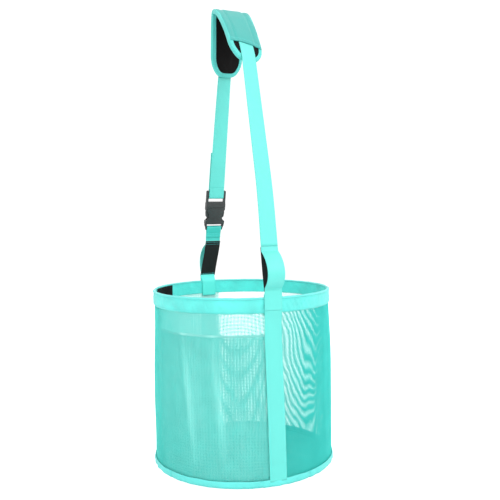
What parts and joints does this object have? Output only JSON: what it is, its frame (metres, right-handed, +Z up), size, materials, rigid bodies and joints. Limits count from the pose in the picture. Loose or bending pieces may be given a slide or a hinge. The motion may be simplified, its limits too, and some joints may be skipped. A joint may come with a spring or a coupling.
{
  "type": "fruit picking bag",
  "caption": "Round mesh picking bag with a stiff mouth, a cloth base, belt loops and one padded shoulder strap with a side-release buckle.",
  "frame": {"origin": "under the crest of the shoulder pad, where the bag hangs from the shoulder", "axes": "+Z up, -Y towards the front strip of the bag, +X to the right of someone who faces the front"},
  "size_m": [0.3214, 0.3506, 0.8121],
  "materials": {
    "mesh": "open polyester mesh in turquoise",
    "band": "plain woven polyester in turquoise",
    "webbing": "ribbed polyester webbing in light turquoise",
    "edging": "narrow ribbed binding tape in light turquoise",
    "pad_cloth": "plain woven cloth in muted turquoise",
    "base_cloth": "woven cloth in deep turquoise",
    "black_cloth": "black woven cloth",
    "buckle_plastic": "moulded black acetal",
    "hoop": "flat plastic hoop, hidden in the band",
    "wire": "steel wire, hidden in the base seam"
  },
  "bodies": {
    "strap": {"front_anchor": "webbing", "front_backing_tape": "black_cloth", "front_belt_loop": "webbing", "shoulder_strap": "webbing", "pad_base": "black_cloth", "pad_cover": "pad_cloth", "pad_edging": "edging", "rear_anchor": "webbing", "rear_backing_tape": "black_cloth", "rear_belt_loop": "webbing", "rear_lower_strap": "webbing", "buckle_female": "buckle_plastic", "rear_strap_leg": "webbing"},
    "bag": {"wall_mesh_left": "mesh", "wall_mesh_right": "mesh", "rim_hoop": "hoop", "rim_band_outer": "band", "rim_band_inner": "band", "rim_edge_tape": "edging", "rim_closure_patch": "black_cloth", "front_strip": "webbing", "rear_strip": "webbing", "inner_pocket": "mesh", "pocket_hem": "edging", "rear_mesh_lining": "mesh"},
    "base": {"base_panel": "base_cloth", "base_binding": "edging", "base_hoop": "wire"},
    "male_buckle": {"buckle_male": "buckle_plastic", "adjuster_webbing": "webbing"},
    "left_button": {"left_prong": "buckle_plastic"},
    "right_button": {"right_prong": "buckle_plastic"}
  },
  "joints": [
    {"name": "bag_tilt", "type": "hinge", "parent": "strap", "child": "bag", "pos_m": [0, -0.03, -0.4932], "axis": [0, 1, 0], "range_deg": [-20, 20]},
    {"name": "bag_fold", "type": "slide", "parent": "bag", "child": "base", "axis": [0, 0, 1], "range_m": [0, 0.26], "deforming": ["wall_mesh_left", "wall_mesh_right", "front_strip", "rear_strip", "inner_pocket", "pocket_hem", "rear_mesh_lining"]},
    {"name": "buckle_release", "type": "slide", "parent": "strap", "child": "male_buckle", "axis": [0, -0.2505, 0.9681], "range_m": [0, 0.03], "deforming": ["rear_strap_leg", "left_prong", "right_prong"]},
    {"name": "left_press", "type": "hinge", "parent": "male_buckle", "child": "left_button", "pos_m": [-0.0136, 0.0969, -0.34306], "axis": [0, -0.9681, -0.2505], "range_deg": [0, 10], "stiffness_Nm_per_rad": 0.05},
    {"name": "right_press", "type": "hinge", "parent": "male_buckle", "child": "right_button", "pos_m": [0.0136, 0.0969, -0.34306], "axis": [0, 0.9681, 0.2505], "range_deg": [0, 10], "stiffness_Nm_per_rad": 0.05}
  ]
}
